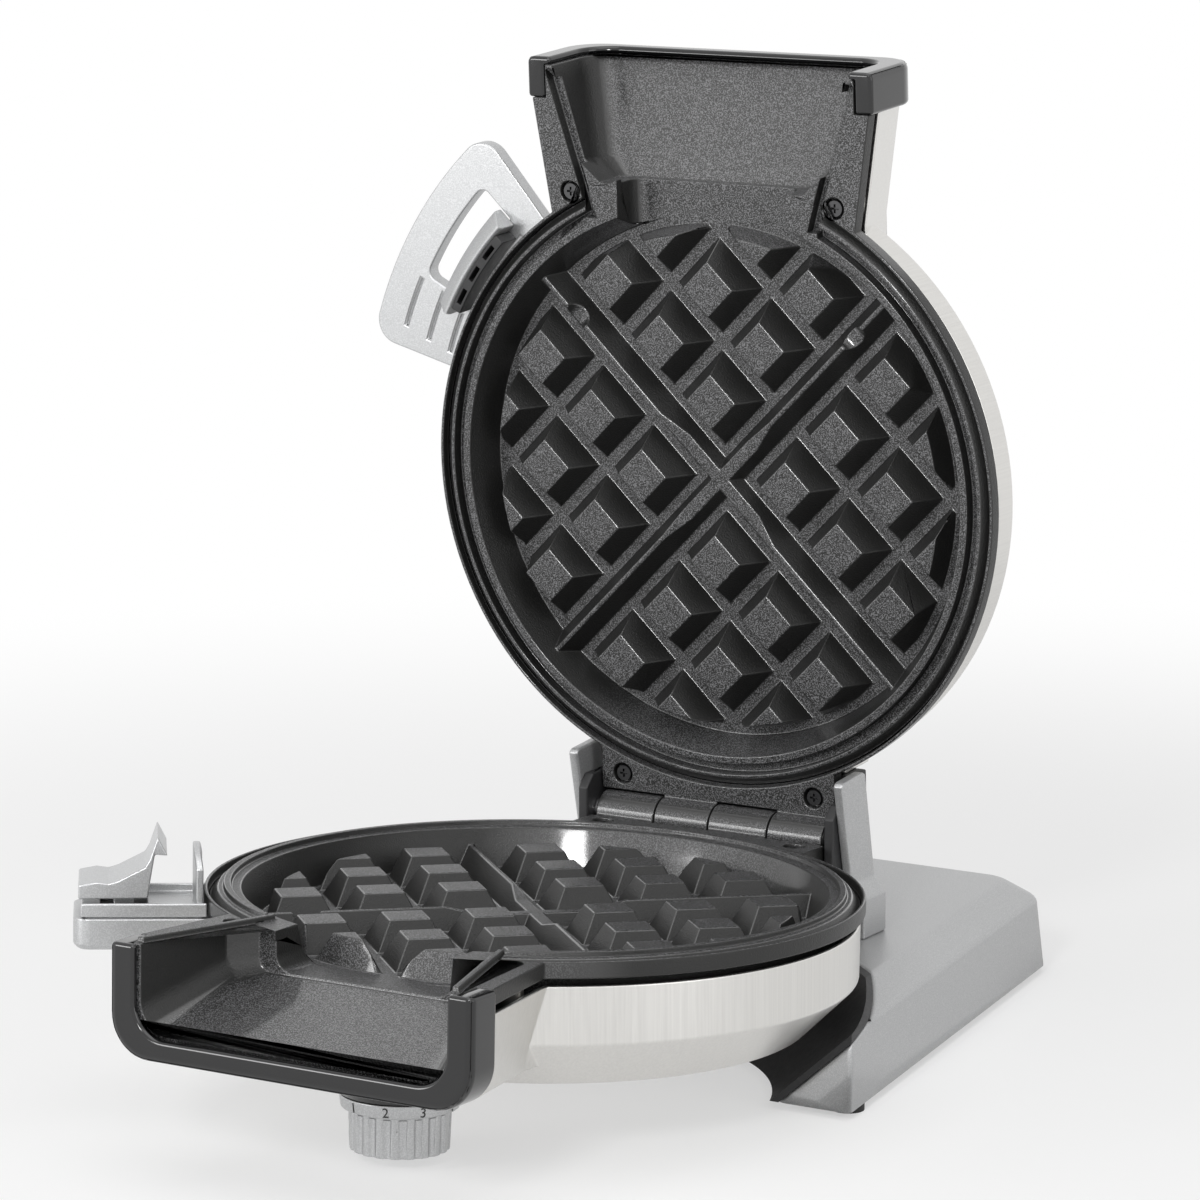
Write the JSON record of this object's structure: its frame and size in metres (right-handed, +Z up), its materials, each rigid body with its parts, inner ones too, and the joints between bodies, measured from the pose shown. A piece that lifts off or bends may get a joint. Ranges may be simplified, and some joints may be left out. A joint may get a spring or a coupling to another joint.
{
  "type": "vertical waffle maker",
  "caption": "Upright waffle maker, open: a round standing cooking plate with a pouring funnel, a hinged front half with latch and dial, on a tapered base.",
  "frame": {"origin": "on the table, straight below the hinge line and midway along it", "axes": "+X along the hinge line, to the right for someone facing the cooking plate of the upright half; +Y towards the back; +Z up"},
  "size_m": [0.2294, 0.3535, 0.3091],
  "materials": {
    "nonstick_cast": "dark nonstick coating with fine light speckle",
    "cover_steel": "brushed stainless steel, slightly warm",
    "trim_black": "gloss black",
    "base_silver": "mid grey silver paint",
    "handle_silver": "light silver paint, satin",
    "bracket_black": "matte black",
    "screw_dark": "dark zinc, cross recess",
    "pin_steel": "bright steel",
    "element_steel": "heat-darkened sheath",
    "shield_aluminium": "bright sheet",
    "foot_rubber": "dark rubber",
    "knob_silver": "satin silver",
    "spring_steel": "spring wire",
    "lens_red": "clear red lens",
    "lens_green": "clear green lens",
    "control_black": "moulded case"
  },
  "bodies": {
    "stand": {"base_shell": "base_silver", "base_bottom_cover": "bracket_black", "front_arch_liner": "bracket_black", "rubber_feet": "foot_rubber", "base_screws": "screw_dark", "cord_gland": "bracket_black", "pivot_bracket": "bracket_black", "left_arm": "base_silver", "right_arm": "base_silver", "hinge_pin": "pin_steel", "hinge_washers": "pin_steel", "rear_plate": "nonstick_cast", "rear_cover": "cover_steel", "rear_funnel_trim": "trim_black", "rear_plate_screws": "screw_dark", "rear_heating_element": "element_steel", "rear_heat_shield": "shield_aluminium", "thermal_cutoff": "control_black", "rear_handle": "handle_silver", "catch_bar": "base_silver", "catch_bracket": "bracket_black"},
    "front_half": {"front_plate": "nonstick_cast", "front_cover": "cover_steel", "front_funnel_trim": "trim_black", "front_plate_screws": "screw_dark", "front_heating_element": "element_steel", "front_heat_shield": "shield_aluminium", "thermostat": "control_black", "dial_bezel": "trim_black", "power_light": "lens_red", "ready_light": "lens_green", "latch_housing": "handle_silver", "latch_guard": "handle_silver", "latch_pin": "pin_steel", "latch_spring": "spring_steel"},
    "latch_lever": {"latch_lever": "handle_silver"},
    "control_knob": {"control_knob": "knob_silver", "thermostat_spindle": "pin_steel"}
  },
  "joints": [
    {"name": "front_half_hinge", "type": "hinge", "parent": "stand", "child": "front_half", "pos_m": [0, 0, 0.062], "axis": [-1, 0, 0], "range_deg": [0, 84.15]},
    {"name": "latch_press", "type": "hinge", "parent": "front_half", "child": "latch_lever", "pos_m": [-0.10032, -0.18511, 0.05922], "axis": [0.5878, -0.8085, 0.0294], "range_deg": [0, 12], "stiffness_Nm_per_rad": 0.4, "springref_deg": -5.73},
    {"name": "temperature_dial", "type": "hinge", "parent": "front_half", "child": "control_knob", "pos_m": [0, -0.18791, 0.01279], "axis": [0, -0.0363, -0.9993], "range_deg": [0, 240]}
  ]
}
